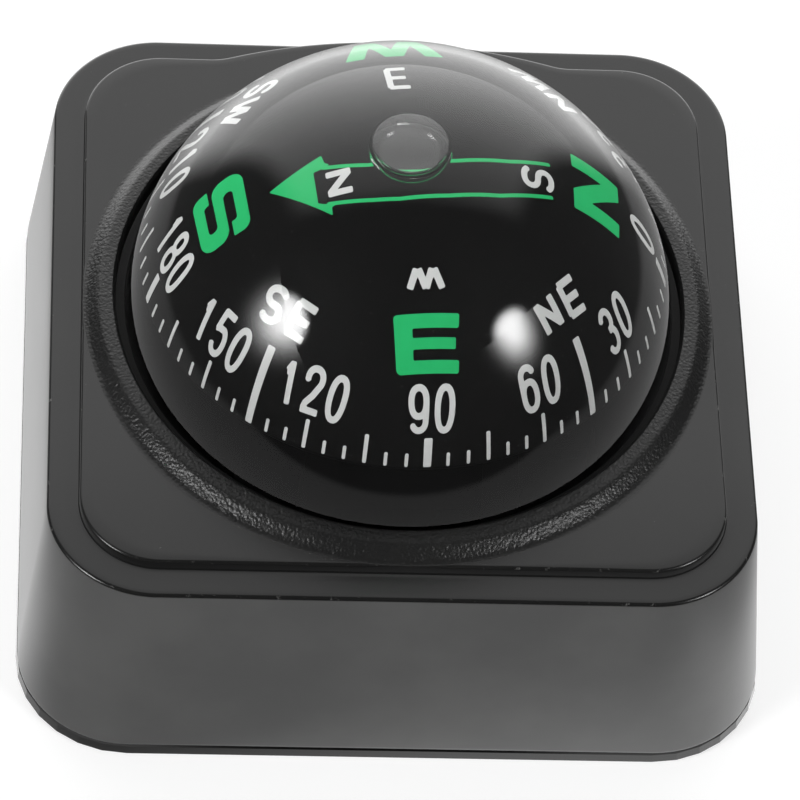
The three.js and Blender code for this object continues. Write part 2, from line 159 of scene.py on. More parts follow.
def mouldedPlastic(name, marked):
    # black moulded plastic; a marked mesh says where it is wall, grained bead or a rubbed edge
    look = plasticLook
    board, where = newMaterial(name)
    cloud = board.noise(where, look["cloudSize"], 3, 0.55)
    fine = board.noise(where, look["fineSize"], 3, 0.6)
    speck = board.step(board.noise(where, look["speckSize"]), 0.76, 0.8)
    patchy = board.step(cloud, 0.3, 0.75)
    shade = board.blend(patchy, look["dark"], look["light"])
    rough = look["roughness"] + cloud * 0.06 + (fine - 0.5) * 0.06
    skin = board.bump(fine, look["fineDepth"], 0.6)
    if marked:
        wall = board.mark("wall")
        wear = board.mark("wear")
        grain = board.mark("grain")
        streaks = board.noise(board.stretched(where, (1, 1, 0.06)), look["streakSize"])
        skin = board.bump(streaks * wall, look["streakDepth"], 0.5, Normal=skin)
        # painted sheen: the walls wear the lighter greys, besides their real streaks and rougher skin
        shade = board.blend(wall, shade, board.blend(patchy, look["wallSheenDark"], look["wallSheenLight"]))
        rough = rough + wall * (look["wallRoughness"] - look["roughness"]) + grain * look["grainRoughness"]
        rubbed = wear * board.step(board.noise(where, look["rubSize"], 4, 0.7), 0.6, 0.68)
        shade = board.blend(rubbed * look["rubShare"], shade, look["worn"])
        pebbles = board.cells(where, look["grainSize"])
        leather = board.noise(where, look["grainSize"] * 0.9, 1, 0.5)
        skin = board.bump((leather - pebbles * look["pebbleShare"]) * grain, look["grainDepth"], 1.0, Normal=skin)
    shade = board.blend(speck * look["speckShare"], shade, look["worn"])
    # the skin is duller toward the front, where the photograph shows the margin darkest
    backward = board.step(board.split(where)[1], look["coatStart"], look["coatEnd"])
    gloss = look["coatLeast"] + backward * look["coatMore"]
    if marked:
        gloss = gloss * (1 - grain) * (1 - wall)
    return finishMaterial(board, {
        "Base Color": shade, "Roughness": rough, "Normal": skin, "Coat Weight": gloss,
        "IOR": 1.5, "Specular IOR Level": look["specular"], "Coat IOR": 1.5, "Coat Roughness": look["coatRoughness"],
    })


clearIndex = 1.47  # of dome and liquid alike


def clearPlastic():
    board = newMaterial("clearPlastic")[0]
    return finishMaterial(board, {
        "Base Color": grey(1), "Roughness": 0.0, "IOR": clearIndex, "Transmission Weight": 1.0,
    })


def hiddenMaterial():
    # the face between two clear things of one index can't be seen
    board = newMaterial("indexMatched")[0]
    return finishMaterial(board, {"Alpha": 0.0, "Roughness": 0.0, "IOR": clearIndex})


def cardLacquer():
    board, where = newMaterial("cardLacquer")
    cloud = board.noise(where, 6, 3, 0.6)
    dust = board.step(board.noise(where, 0.5), 0.7, 0.76)
    shade = board.blend(cloud, grey(0.0018), (0.0032, 0.0031, 0.003, 1))
    shade = board.blend(dust * 0.06, shade, (0.2, 0.2, 0.19, 1))
    return finishMaterial(board, {
        "Base Color": shade, "Roughness": 0.42 + cloud * 0.1,
        "Normal": board.bump(board.noise(where, 0.5), 0.001, 0.3),
        "IOR": clearIndex, "Specular IOR Level": 0.04,
    })


def printInk(name, shade, second):
    board, where = newMaterial(name)
    cloud = board.noise(where, 1.5, 4, 0.6)
    return finishMaterial(board, {
        "Base Color": board.blend(cloud, shade, second), "Roughness": 0.5 + cloud * 0.15,
        "Normal": board.bump(board.noise(where, 0.12), 0.004, 0.4),
        "IOR": clearIndex, "Specular IOR Level": 0.1,
    })


def darkPlastic(name, shade, second, roughness, gloss, unmirrored=False):
    # black plastic where little light comes; unmirrored, the dome's outer face doesn't show it
    board, where = newMaterial(name)
    cloud = board.noise(where, 3, 3, 0.6)
    surface = board.add("ShaderNodeBsdfPrincipled", None, {
        "Base Color": board.blend(cloud, shade, second), "Roughness": roughness + cloud * 0.1,
        "Normal": board.bump(board.noise(where, 0.3), 0.002, 0.5),
        "Specular IOR Level": gloss,
    })
    if unmirrored:
        glossy, depth = board.rays("Is Glossy Ray", "Transmission Depth")
        through = board.maths("MINIMUM", depth, 1.0, True)
        clear = board.add("ShaderNodeBsdfTransparent")
        surface = board.add("ShaderNodeMixShader", None, {0: glossy * (1 - through), 1: surface, 2: clear})
    board.add("ShaderNodeOutputMaterial", None, {"Surface": surface})
    return board.material


def softRubber(name, shade, second, size):
    board, where = newMaterial(name)
    cloud = board.noise(where, size * 6, 3, 0.6)
    fine = board.noise(where, size, 3, 0.6)
    return finishMaterial(board, {
        "Base Color": board.blend(cloud, shade, second), "Roughness": 0.75 + fine * 0.15,
        "Normal": board.bump(fine, size * 0.1, 0.7),
    })


def openFoam():
    board, where = newMaterial("openFoam")
    pores = board.cells(where, 0.55)
    small = board.cells(where, 0.22)
    cloud = board.noise(where, 4, 3, 0.6)
    depth = board.step(pores, 0.05, 0.5) + small * 0.5
    shade = board.blend(board.step(pores, 0.1, 0.55), (0.018, 0.018, 0.019, 1), (0.07, 0.07, 0.073, 1))
    shade = board.blend(cloud * 0.35, shade, (0.045, 0.045, 0.048, 1))
    return finishMaterial(board, {
        "Base Color": shade, "Roughness": 0.88 + cloud * 0.08,
        "Normal": board.bump(depth, 0.12, 0.8),
    })


def turnedMetal(name, shade, second, roughness, stretch, depth):
    # metal with fine tool lines
    board, where = newMaterial(name)
    lines = board.noise(board.stretched(where, stretch), 0.12, 3, 0.6)
    cloud = board.noise(where, 1.4, 3, 0.6)
    return finishMaterial(board, {
        "Base Color": board.blend(cloud, shade, second), "Metallic": 1.0,
        "Roughness": roughness + lines * 0.12 + cloud * 0.08,
        "Normal": board.bump(lines, depth, 0.6),
    })


def redJewel():
    board, where = newMaterial("redJewel")
    cloud = board.noise(where, 0.6, 3, 0.6)
    return finishMaterial(board, {
        "Base Color": board.blend(cloud, (0.32, 0.015, 0.05, 1), (0.42, 0.03, 0.08, 1)),
        "Roughness": 0.05 + cloud * 0.06, "IOR": 1.76, "Coat Weight": 0.4 + cloud * 0.2,
    })


finishes = {
    "housing": mouldedPlastic("blackPlastic", True),
    "inside": mouldedPlastic("innerPlastic", False),
    "clear": clearPlastic(),
    "hidden": hiddenMaterial(),
    "card": cardLacquer(),
    "white": printInk("whiteInk", (0.6, 0.61, 0.6, 1), (0.66, 0.67, 0.66, 1)),
    "green": printInk("greenInk", (0.016, 0.44, 0.13, 1), (0.022, 0.5, 0.16, 1)),
    "rubber": softRubber("blackRubber", grey(0.012), grey(0.02), 0.2),
    # painted shade: a darker, unmirrored black for the opening's inside, the step's foot, the dome's shoulder and
    # flange and the ring between them
    "paintedShade": darkPlastic("recessPlastic", grey(0.003), grey(0.0055), 0.55, 0.12, True),
    "bowl": darkPlastic("bowlPlastic", grey(0.0012), grey(0.002), 0.8, 0.02),
    "foam": openFoam(),
    "zinc": turnedMetal("zincSteel", (0.45, 0.46, 0.48, 1), (0.56, 0.56, 0.55, 1), 0.25, (1, 1, 0.1), 0.004),
    "needle": turnedMetal("needleSteel", (0.6, 0.61, 0.63, 1), (0.66, 0.66, 0.67, 1), 0.12, (1, 1, 12), 0.002),
    "magnet": darkPlastic("magnetFerrite", (0.0015, 0.0015, 0.0016, 1), (0.0025, 0.0025, 0.0026, 1), 0.8, 0.02),
    "brass": turnedMetal("turnedBrass", (0.5, 0.35, 0.12, 1), (0.58, 0.42, 0.17, 1), 0.2, (1, 1, 12), 0.004),
    "jewel": redJewel(),
}
print("materials made:", len(finishes))


# meshes from rows of points
def meshObject(name, points, faces, looks, marks=None, slots=None):
    # points in millimetres; marks are numbers on the points, slots say which look a face wears
    mesh = bpy.data.meshes.new(name)
    mesh.from_pydata([tuple(p) for p in np.asarray(points, float) * mm], [], faces)
    for look in looks:
        mesh.materials.append(finishes[look])
    if slots is not None:
        mesh.polygons.foreach_set("material_index", np.asarray(slots, np.int32))
    mesh.polygons.foreach_set("use_smooth", np.full(len(mesh.polygons), True))
    for key, values in (marks or {}).items():
        layer = mesh.attributes.new(key, "FLOAT", "POINT")
        layer.data.foreach_set("value", np.asarray(values, np.float32))
    mesh.update()
    thing = bpy.data.objects.new(name, mesh)
    bpy.context.scene.collection.objects.link(thing)
    return thing


def ringFaces(rows, around, closed=False):
    # quads between neighbouring rows of points; row 0 is seen from outside when angles run anticlockwise
    faces = []
    last = rows if closed else rows - 1
    for i in range(last):
        a, b = i * around, ((i + 1) % rows) * around
        for j in range(around):
            k = (j + 1) % around
            faces.append((a + j, b + j, b + k, a + k))
    return faces


def arc(centre, radius, start, end, steps):
    # points of an arc; angles in degrees
    turn = np.radians(np.linspace(start, end, steps + 1))
    return [(centre[0] + radius * cos(t), centre[1] + radius * sin(t)) for t in turn]


def lathe(name, profile, looks, around, slotOf=None):
    # a closed body of revolution about z; profile is (radius, z) down the outside and up the inside
    turn = np.linspace(0, 2 * pi, around, endpoint=False)
    points, rows = [], []
    for radius, height in profile:
        if radius < 1e-6:
            rows.append((len(points), 1))
            points.append((0, 0, height))
        else:
            rows.append((len(points), around))
            points += [(radius * cos(t), radius * sin(t), height) for t in turn]
    faces, slots = [], []
    for i in range(len(rows)):
        (a, na), (b, nb) = rows[i], rows[(i + 1) % len(rows)]
        if na == 1 and nb == 1:
            continue
        for j in range(around):
            k = (j + 1) % around
            if na == 1:
                faces.append((a, b + j, b + k))
            elif nb == 1:
                faces.append((a + j, b, a + k))
            else:
                faces.append((a + j, b + j, b + k, a + k))
            slots.append(slotOf(i) if slotOf else 0)
    return meshObject(name, points, faces, looks, None, slots)


# housing
housing = {
    "around": 720,
    "footHalf": 33.0, "footCorner": 9.9, "footLevel": 0.4,
    "topHalf": 30.55, "topCorner": 9.4, "topLevel": 21.5,
    "edge": 0.3,
    "bottom": 1.55, "hemRound": 0.15,
    "raisedHalf": 27.8, "raisedCorner": 6.9, "raisedLevel": 22.55, "stepFoot": 0.12,
    "bowReach": 2.6, "bowRadius": 48.0, "bowFillet": 6.0,
    "beadInner": 25.2, "beadReach": 2.55, "beadShift": 0.35, "beadHeight": 1.05,
    # share of the reach, degrees of fall
    "beadSlopes": ((0, -30), (0.04, 0), (0.36, 4), (0.46, 26), (0.54, 42), (0.8, 45), (0.9, 30), (1, 8)),
    "openingTop": 23.35, "lip": 21.7, "lipMiddle": 22.4, "lipWidth": 0.25, "lipRound": 0.1,
    "counterbore": 27.3, "ceiling": 19.3, "wall": 2.0,
}
sweep = np.linspace(0, 2 * pi, housing["around"], endpoint=False)


def polar(polygon):
    # distance from the axis to a star shaped outline at each angle of the sweep
    outline = np.asarray(polygon, float)
    turn = np.arctan2(outline[:, 1], outline[:, 0]) % (2 * pi)
    reach = np.hypot(outline[:, 0], outline[:, 1])
    order = np.argsort(turn)
    return np.interp(sweep, turn[order], reach[order], period=2 * pi)


def roundedSquare(half, corner):
    quarters = ((1, 1), (-1, 1), (-1, -1), (1, -1))
    cornerSteps, sideSteps = 90, 200
    inner = half - corner
    points = []
    for k, (x, y) in enumerate(quarters):
        points += arc((x * inner, y * inner), corner, 90 * k, 90 * k + 90, cornerSteps)
        nextX, nextY = quarters[(k + 1) % 4]
        turn = radians(90 * k + 90)
        end = (nextX * inner + corner * cos(turn), nextY * inner + corner * sin(turn))
        points += list(np.linspace(points[-1], end, sideSteps)[1:-1])
    return polar(points)


def raisedOutline():
    # the low raised face: a rounded square with one shallow bow at the back
    h = housing
    radius, fillet, level = h["bowRadius"], h["bowFillet"], h["raisedHalf"]
    middle = level + h["bowReach"] - radius
    rise = level + fillet - middle
    across = sqrt((radius + fillet) ** 2 - rise ** 2)
    touch = across * radius / (radius + fillet)
    bow = []
    for x in np.linspace(-across, across, 1200):
        if abs(x) <= touch:
            y = middle + sqrt(radius ** 2 - x * x)
        else:
            y = level + fillet - sqrt(max(fillet ** 2 - (abs(x) - across) ** 2, 0))
        bow.append((x, y))
    turn = np.array([atan2(y, x) for x, y in bow])[::-1]
    reach = np.array([hypot(x, y) for x, y in bow])[::-1]
    inside = (sweep >= turn[0]) & (sweep <= turn[-1])
    result = roundedSquare(level, h["raisedCorner"])
    result[inside] = np.interp(sweep[inside], turn, reach)
    return result


def bodyHalf(level):
    # the drafted body's outline at a level
    h = housing
    share = (level - h["footLevel"]) / (h["topLevel"] - h["footLevel"])
    half = h["footHalf"] + (h["topHalf"] - h["footHalf"]) * share
    corner = h["footCorner"] + (h["topCorner"] - h["footCorner"]) * share
    return roundedSquare(half, corner)


def beadCurve():
    # the bead's section, summed up from its slopes: (share of the reach, share of the height)
    shares, slopes = zip(*housing["beadSlopes"])
    across = np.linspace(0, 1, 401)
    falls = np.tan(np.radians(np.interp(across, shares, slopes)))
    drop = np.concatenate([[0], np.cumsum((falls[1:] + falls[:-1]) / 2)])
    height = (drop[-1] - drop) / (drop[-1] - drop.min())
    picked = [0, 6, 12, 20, 50, 90, 130, 160, 180, 200, 215, 230, 245, 265, 290, 315, 340, 360, 372, 382, 390, 396]
    return [(across[k], height[k]) for k in picked]


def buildHousing():
    h = housing
    n = h["around"]
    rows = []

    def row(radius, height, wear=0.0, grain=0.0, wall=0.0):
        rows.append([np.broadcast_to(value, (n,)) for value in (radius, height, wear, grain, wall)])

    foot = h["beadInner"] + h["beadReach"]
    inner = h["beadInner"] + h["beadShift"] * np.sin(sweep)
    opening = inner - h["lipWidth"]
    # inside, from the lip up to the bead
    row(opening, h["lip"])
    row(opening, h["lipMiddle"])
    row(opening, h["openingTop"] - h["lipRound"])
    row(opening + h["lipRound"] / 2, h["openingTop"] - h["lipRound"] / 5, 0.2, 0.3)
    recessRows = len(rows)
    for across, height in beadCurve():
        row(inner + (foot - inner) * across, h["raisedLevel"] + h["beadHeight"] * height, 0, 1)
    row(foot, h["raisedLevel"], 0, 0.6)
    # the raised face and its step
    outer = np.maximum(raisedOutline(), foot + 0.04)
    edge = np.clip(outer - foot, 0.03, h["edge"])
    flat = outer - edge
    for share in (0.06, 0.3, 0.6, 0.85, 1.0):
        row(foot + (flat - foot) * share, h["raisedLevel"])
    for t in np.radians((18, 36, 54, 72, 90)):
        row(flat + edge * sin(t), h["raisedLevel"] - edge * (1 - cos(t)), sin(2 * t) ** 2)
    stepRow = len(rows) - 2
    small = h["stepFoot"]
    row(outer, h["topLevel"] + small * 1.5, 0.2)
    for t in np.radians((0, 30, 60, 90)):
        row(outer + small * (1 - cos(t)), h["topLevel"] + small * (1 - sin(t)))
    stepEnd = len(rows) - 1
    # the margin and the wall's top edge
    top = bodyHalf(h["topLevel"])
    for share in (0.15, 0.5, 0.85):
        row(outer + small + (top - h["edge"] - outer - small) * share, h["topLevel"])
    for turn in (0, 15, 30, 45, 60, 75, 90):
        t = radians(turn)
        level = h["topLevel"] - h["edge"] * (1 - cos(t))
        row(bodyHalf(level) - h["edge"] * (1 - sin(t)), level, sin(2 * t) ** 2, 0, turn == 90)
    # the drafted wall
    for level in np.linspace(h["topLevel"] - h["edge"] - 0.25, h["bottom"] + h["hemRound"] * 2, 12):
        row(bodyHalf(level), level, 0, 0, 1)
    low = bodyHalf(h["bottom"])
    for t in np.radians((30, 60, 90)):
        row(low - h["hemRound"] * (1 - cos(t)), h["bottom"] + h["hemRound"] * (1 - sin(t)), 0.4, 0, 1)
    # under the foot and up inside
    row(low - h["wall"], h["bottom"])
    row(bodyHalf(h["ceiling"]) - h["wall"], h["ceiling"])
    row(h["counterbore"], h["ceiling"])
    row(h["counterbore"], h["lip"])
    points = [np.stack([reach * np.cos(sweep), reach * np.sin(sweep), level], 1) for reach, level, *_ in rows]
    marks = {key: np.concatenate([values[k] for values in rows])
             for k, key in enumerate(("wear", "grain", "wall"), 2)}
    # painted shade: the rows inside the opening, round the step's foot and at the lip wear the darker plastic
    shadePainted = [i < recessRows or stepRow <= i < stepEnd or i == len(rows) - 1 for i in range(len(rows))]
    piece = meshObject("housingShell", np.concatenate(points), ringFaces(len(rows), n, True), ["housing", "paintedShade"],
                       marks, np.repeat(shadePainted, n))
    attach(piece, "body")
    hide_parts("housing")
    return piece


# in the photograph the dome mirrors the lit sheet right down to its foot, so the housing stays out of mirrored light
buildHousing().visible_glossy = False
print("housing made")


# capsule
capsule = {
    "around": 256,
    "centre": 21.3,
    "radius": 24.1, "inner": 22.7,
    "shoulder": 24.75, "shoulderTop": 22.15, "shoulderRound": 0.15, "shoulderFoot": 0.2,
    "flange": 27.0, "flangeTop": 21.4, "flangeBottom": 20.0,
    "liquidOuter": 22.66, "liquidInner": 19.9, "liquidLower": 22.3, "liquidEnd": 128,
    "contact": 3.13, "belly": 3.5, "bellyDepth": 1.1, "bubbleDepth": 3.2, "bubblePower": 2.2,
    "bubbleAside": -1.3, "bubbleBack": 1.9, "leanFull": 12, "leanEnd": 60,
    "fillerTop": 22.6, "fillerBottom": 22.2, "fillerOuter": 24.95, "fillerSag": 0.15,
}


def leanTop(piece, first=0):
    # turns the points near the top, so that the bubble sits a little back and to one side of the middle
    c = capsule
    middle = Vector((0, 0, c["centre"]))
    for vertex in piece.data.vertices[first:]:
        arm = vertex.co / mm - middle
        away = degrees(arm.angle(Vector((0, 0, 1))))
        share = min(max((c["leanEnd"] - away) / (c["leanEnd"] - c["leanFull"]), 0), 1)
        share = share * share * (3 - 2 * share)
        turn = (Matrix.Rotation(radians(c["bubbleAside"] * share), 3, "Y")
                @ Matrix.Rotation(radians(-c["bubbleBack"] * share), 3, "X"))
        vertex.co = (turn @ arm + middle) * mm
    piece.data.update()


def sphereRows(radius, start, end, steps, centre=capsule["centre"]):
    # (radius, height) along a meridian; degrees from the pole
    return [(radius * sin(radians(a)), centre + radius * cos(radians(a)))
            for a in np.linspace(start, end, steps + 1)]


def buildDome():
    c = capsule
    rim = degrees(asin(c["contact"] / c["inner"]))
    meet = degrees(acos((c["shoulderTop"] - c["centre"]) / c["radius"]))
    side, top, foot = c["shoulder"], c["shoulderTop"], c["flangeTop"]
    bend, hollow = c["shoulderRound"], c["shoulderFoot"]
    outside = sphereRows(c["radius"], 0, meet, 110)
    over = [(side - bend, top), (side - bend * 0.3, top - bend * 0.3), (side, top - bend), (side, foot + hollow),
            (side + hollow * 0.3, foot + hollow * 0.3), (side + hollow, foot), (c["flange"], foot)]
    under = [(c["flange"], c["flangeBottom"]), (c["inner"], c["flangeBottom"])]
    wallSteps, patchSteps = 60, 12
    inside = sphereRows(c["inner"], 90, rim, wallSteps) + sphereRows(c["inner"], rim, 0, patchSteps)[1:]
    outerRows = len(outside) + len(over)
    rimRow = outerRows + len(under) + wallSteps

    def slotOf(i):
        # painted shade on the clear dome's shoulder and flange, hidden where the liquid wets it, clear elsewhere
        if i < len(outside) - 1 or i >= rimRow:
            return 0
        return 2 if i < outerRows else 1

    piece = lathe("domeShell", outside + over + under + inside, ["clear", "hidden", "paintedShade"], c["around"], slotOf)
    leanTop(piece, 1 + (outerRows - 1 + len(under)) * c["around"])
    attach(piece, "body")
    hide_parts("capsule_dome")
    return piece


def buildLiquid():
    c = capsule
    rim = degrees(asin(c["contact"] / c["liquidOuter"]))
    edge = sphereRows(c["liquidOuter"], rim, 90, 60)
    widest = c["centre"] + c["liquidOuter"] - c["bellyDepth"]
    depth, power = c["bubbleDepth"] - c["bellyDepth"], 2 / c["bubblePower"]
    dent = [(0.0, widest - depth)]
    for t in np.linspace(0, pi / 2, 32)[1:]:
        # the underside of the bubble, round as a drop's
        dent.append((c["belly"] * sin(t) ** power, widest - depth * cos(t) ** power))
    for t in np.linspace(0, pi / 2, 12)[1:-1]:
        # and its shoulder, which closes in to where it touches the dome
        dent.append((c["contact"] + (c["belly"] - c["contact"]) * cos(t), widest + (edge[0][1] - widest) * sin(t)))
    # below the dome it lines the bowl, clear of everything that tips with the card
    profile = dent + edge + sphereRows(c["liquidLower"], 95, c["liquidEnd"], 10)
    profile += sphereRows(c["liquidInner"], c["liquidEnd"], 0, 52)
    piece = lathe("dampingLiquid", profile, ["clear", "hidden"], c["around"], lambda i: 0 if i < len(dent) else 1)
    leanTop(piece)
    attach(piece, "body")
    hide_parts("damping_liquid")
    return piece


def buildFiller():
    # a dark ring of painted shade that fills the gap between the dome's foot and the housing's lip
    c = capsule

    def foot(level):
        return sqrt(c["radius"] ** 2 - (level - c["centre"]) ** 2) + 0.02

    start = foot(c["fillerTop"])
    profile = [(start + share * (c["fillerOuter"] - start), c["fillerTop"] - c["fillerSag"] * share ** 0.55)
               for share in np.linspace(0, 1, 9)]
    profile += [(c["fillerOuter"], c["fillerBottom"]), (foot(c["fillerBottom"]), c["fillerBottom"])]
    piece = lathe("sealFiller", profile, ["paintedShade"], c["around"])
    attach(piece, "body")


buildFiller()
for clearPiece in (buildDome(), buildLiquid()):
    clearPiece.visible_shadow = False
    clearPiece.visible_diffuse = False
print("capsule made")


# card
card = {
    "around": 240,
    "radius": 19.0, "wall": 0.6, "rimAngle": 83.7,
    "tilt": -7.58, "side": 0.35, "heading": 4.44,
    "inkRadius": 19.03, "inkThickness": 0.05,
    "mapRadius": 19.02,
    "cell": 0.08,
}
cardTurn = Matrix.Rotation(radians(card["side"]), 4, "Y") @ Matrix.Rotation(radians(card["tilt"]), 4, "X")
cardPlace = Matrix.Translation(Vector((0, 0, capsule["centre"] * mm))) @ cardTurn


def buildCard():
    c = card
    half = c["wall"] / 2
    middle = c["radius"] - half
    profile = sphereRows(c["radius"], 0, c["rimAngle"], 90, 0)
    for t in np.radians(np.linspace(0, 180, 13)[1:-1]):
        # the rim is round
        radius = middle + half * cos(t)
        away = radians(c["rimAngle"]) + half * sin(t) / middle
        profile.append((radius * sin(away), radius * cos(away)))
    profile += sphereRows(c["radius"] - c["wall"], c["rimAngle"], 0, 60, 0)
    piece = lathe("cardBall", profile, ["card"], c["around"])
    piece.matrix_world = cardPlace
    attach(piece, "card")
    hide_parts("card_shell")


buildCard()


# print: shapes as distance fields
def barField(x, y, start, end, width, soft):
    # an oriented bar with lightly rounded corners
    middleX, middleY = (start[0] + end[0]) / 2, (start[1] + end[1]) / 2
    length = hypot(end[0] - start[0], end[1] - start[1])
    ux, uy = (end[0] - start[0]) / length, (end[1] - start[1]) / length
    along = np.abs((x - middleX) * ux + (y - middleY) * uy) - length / 2 + soft
    across = np.abs((y - middleY) * ux - (x - middleX) * uy) - width / 2 + soft
    return np.hypot(np.maximum(along, 0), np.maximum(across, 0)) + np.minimum(np.maximum(along, across), 0) - soft


def strokesField(strokes, width, soft=0.12):
    # pen lines: bars between their points, discs at their inner points
    def field(x, y):
        result = np.full(x.shape, 9.0)
        for points, closed in strokes:
            for start, end in zip(points, points[1:] + points[:closed]):
                result = np.minimum(result, barField(x, y, start, end, width, soft))
            for px, py in (points if closed else points[1:-1]):
                result = np.minimum(result, np.hypot(x - px, y - py) - width / 2)
        return result
    return field


def filletPolygon(corners):
    # the polygon with its corners rounded; a corner is (x, y, radius)
    result = []
    for (x, y, radius), before, after in zip(corners, corners[-1:] + corners[:-1], corners[1:] + corners[:1]):
        here = np.array((x, y), float)
        back, ahead = before[:2] - here, after[:2] - here
        backLength, aheadLength = np.linalg.norm(back), np.linalg.norm(ahead)
        back, ahead = back / backLength, ahead / aheadLength
        angle = acos(max(-1, min(1, float(back @ ahead))))
        if radius < 1e-6 or angle > 3.1:
            result.append(tuple(here))
            continue
        reach = min(radius / tan(angle / 2), backLength * 0.49, aheadLength * 0.49)
        radius = reach * tan(angle / 2)
        bisector = (back + ahead) / np.linalg.norm(back + ahead)
        middle = here + bisector * radius / sin(angle / 2)
        first, last = here + back * reach - middle, here + ahead * reach - middle
        a0, a1 = atan2(first[1], first[0]), atan2(last[1], last[0])
        turn = (a1 - a0 + pi) % (2 * pi) - pi
        for a in np.linspace(a0, a0 + turn, 9):
            result.append((middle[0] + radius * cos(a), middle[1] + radius * sin(a)))
    return result


def polygonField(x, y, corners):
    # signed distance to a polygon, less than zero inside
    best = np.full(x.shape, 1e9)
    inside = np.zeros(x.shape, bool)
    for (ax, ay), (bx, by) in zip(corners, corners[1:] + corners[:1]):
        ex, ey = bx - ax, by - ay
        size = ex * ex + ey * ey
        if size < 1e-12:
            continue
        share = np.clip(((x - ax) * ex + (y - ay) * ey) / size, 0, 1)
        best = np.minimum(best, np.hypot(x - ax - ex * share, y - ay - ey * share))
        crosses = (ay > y) != (by > y)
        with np.errstate(divide="ignore", invalid="ignore"):
            inside ^= crosses & (x < (bx - ax) * (y - ay) / (by - ay + (by == ay)) + ax)
    return np.where(inside, -best, best)


def filledCells(field, xs, ys):
    # marching squares that fills each cell where the field is below zero
    low = field < 0
    nearCell = low[:-1, :-1] | low[1:, :-1] | low[1:, 1:] | low[:-1, 1:]
    points, faces, known = [], [], {}

    def corner(i, j):
        key = (i, j, 0)
        if key not in known:
            known[key] = len(points)
            points.append((xs[j], ys[i]))
        return known[key]

    def crossing(i0, j0, i1, j1):
        if (i0, j0) > (i1, j1):
            i0, j0, i1, j1 = i1, j1, i0, j0
        key = (i0, j0, 1 if i0 == i1 else 2)
        if key not in known:
            f0, f1 = field[i0, j0], field[i1, j1]
            share = min(max(f0 / (f0 - f1), 0.02), 0.98)
            known[key] = len(points)
            points.append((xs[j0] + (xs[j1] - xs[j0]) * share, ys[i0] + (ys[i1] - ys[i0]) * share))
        return known[key]

    for i, j in zip(*np.nonzero(nearCell)):
        around = ((i, j), (i, j + 1), (i + 1, j + 1), (i + 1, j))
        face = []
        for k in range(4):
            here, ahead = around[k], around[(k + 1) % 4]
            if low[here]:
                face.append(corner(*here))
            if low[here] != low[ahead]:
                face.append(crossing(*here, *ahead))
        if len(face) >= 3:
            faces.append(tuple(face))
    return points, faces


def loopPoints(cx, cy, rx, ry, start=0, end=360, steps=28, power=2.3):
    # part of a squarish loop; 0 degrees is its right side
    def bulge(value):
        return copysign(abs(value) ** (2 / power), value)

    return [(cx + rx * bulge(cos(a)), cy + ry * bulge(sin(a)))
            for a in np.radians(np.linspace(start, end, steps + 1))]


digit = {"half": 0.75, "tall": 1.83, "pen": 0.6}
spacing = {1: (0.5,), 2: (-1.07, 1.57), 3: (-2.75, -0.2, 2.42)}  # figures in the number: where their middles are


def openLines(*lines):
    return [(list(line), False) for line in lines]


def digitStrokes(name):
    # pen lines of a figure about its middle, in millimetres of the flat artwork: (points, whether it closes)
    w, t = digit["half"], digit["tall"]
    if name == "0":
        return [(loopPoints(0, 0, w, t)[:-1], True)]
    if name == "1":
        return openLines([(0, t + 0.02), (0, -t - 0.02)], [(-0.5, 0.92), (0, 0.98)], [(-0.42, 1), (0, 1.66)])
    if name == "2":
        top = loopPoints(0, t - 0.85, w, 0.85, 200, -25, 16, 2.1)
        return openLines(top + [(0.1, -0.45), (-0.55, -1.2), (-w + 0.02, -t + 0.05)],
                         [(-w - 0.22, -t + 0.02), (w + 0.22, -t + 0.02)])
    if name == "3":
        waist = [(-0.12, 0.12)]
        return openLines(loopPoints(-0.04, 0.97, w - 0.06, 0.86, 165, -62, 16, 2.1) + waist,
                         waist + loopPoints(-0.02, -0.84, w, 0.99, 62, -165, 18, 2.1))
    if name == "4":
        return openLines([(0.35, -t - 0.02), (0.35, t), (-w - 0.05, -0.75), (w + 0.25, -0.75)])
    if name == "5":
        return openLines([(w + 0.12, t), (-w + 0.28, t), (-w + 0.1, 0.12)],
                         [(-w - 0.12, 0.22), (-w + 0.35, 0.36)] + loopPoints(0, -0.7, w, 1.13, 75, -165, 18, 2.2))
    if name == "6":
        return [([(-x, -y) for x, y in points], closed) for points, closed in digitStrokes("9")]
    if name == "7":
        return openLines([(-w - 0.2, t), (w, t), (-0.25, -t)])
    if name == "8":
        return [(loopPoints(0, 0.98, w - 0.1, 0.85)[:-1], True), (loopPoints(0, -0.86, w, 0.98)[:-1], True)]
    tail = [(w, 0.6), (w - 0.02, -0.6)] + loopPoints(0, -1, w - 0.05, 0.83, -12, -160, 12, 2.1)
    return [(loopPoints(0, 0.62, w, 1.21)[:-1], True)] + openLines(tail)


def letterStrokes(name, half, tall):
    # the narrow white capitals, as pen lines
    if name == "E":
        arms = [[(-half - 0.1, y), (x, y)] for x, y in ((half, tall), (half - 0.1, 0), (half + 0.08, -tall))]
        return openLines([(-half, -tall), (-half, tall)], *arms)
    if name == "N":
        return openLines([(-half, -tall), (-half, tall)], [(half, -tall), (half, tall)],
                         [(-half, tall - 0.12), (half, -tall + 0.12)])
    if name == "W":
        return openLines([(-half, tall), (-half * 0.52, -tall)], [(half, tall), (half * 0.52, -tall)],
                         [(-half * 0.42, -tall), (0, tall)], [(half * 0.42, -tall), (0, tall)])
    upper = loopPoints(0, tall / 2, half, tall / 2, 20, 270, 16, 2.2)
    lower = loopPoints(0, -tall / 2, half, tall / 2, 90, -160, 16, 2.2)
    return openLines(upper + lower)


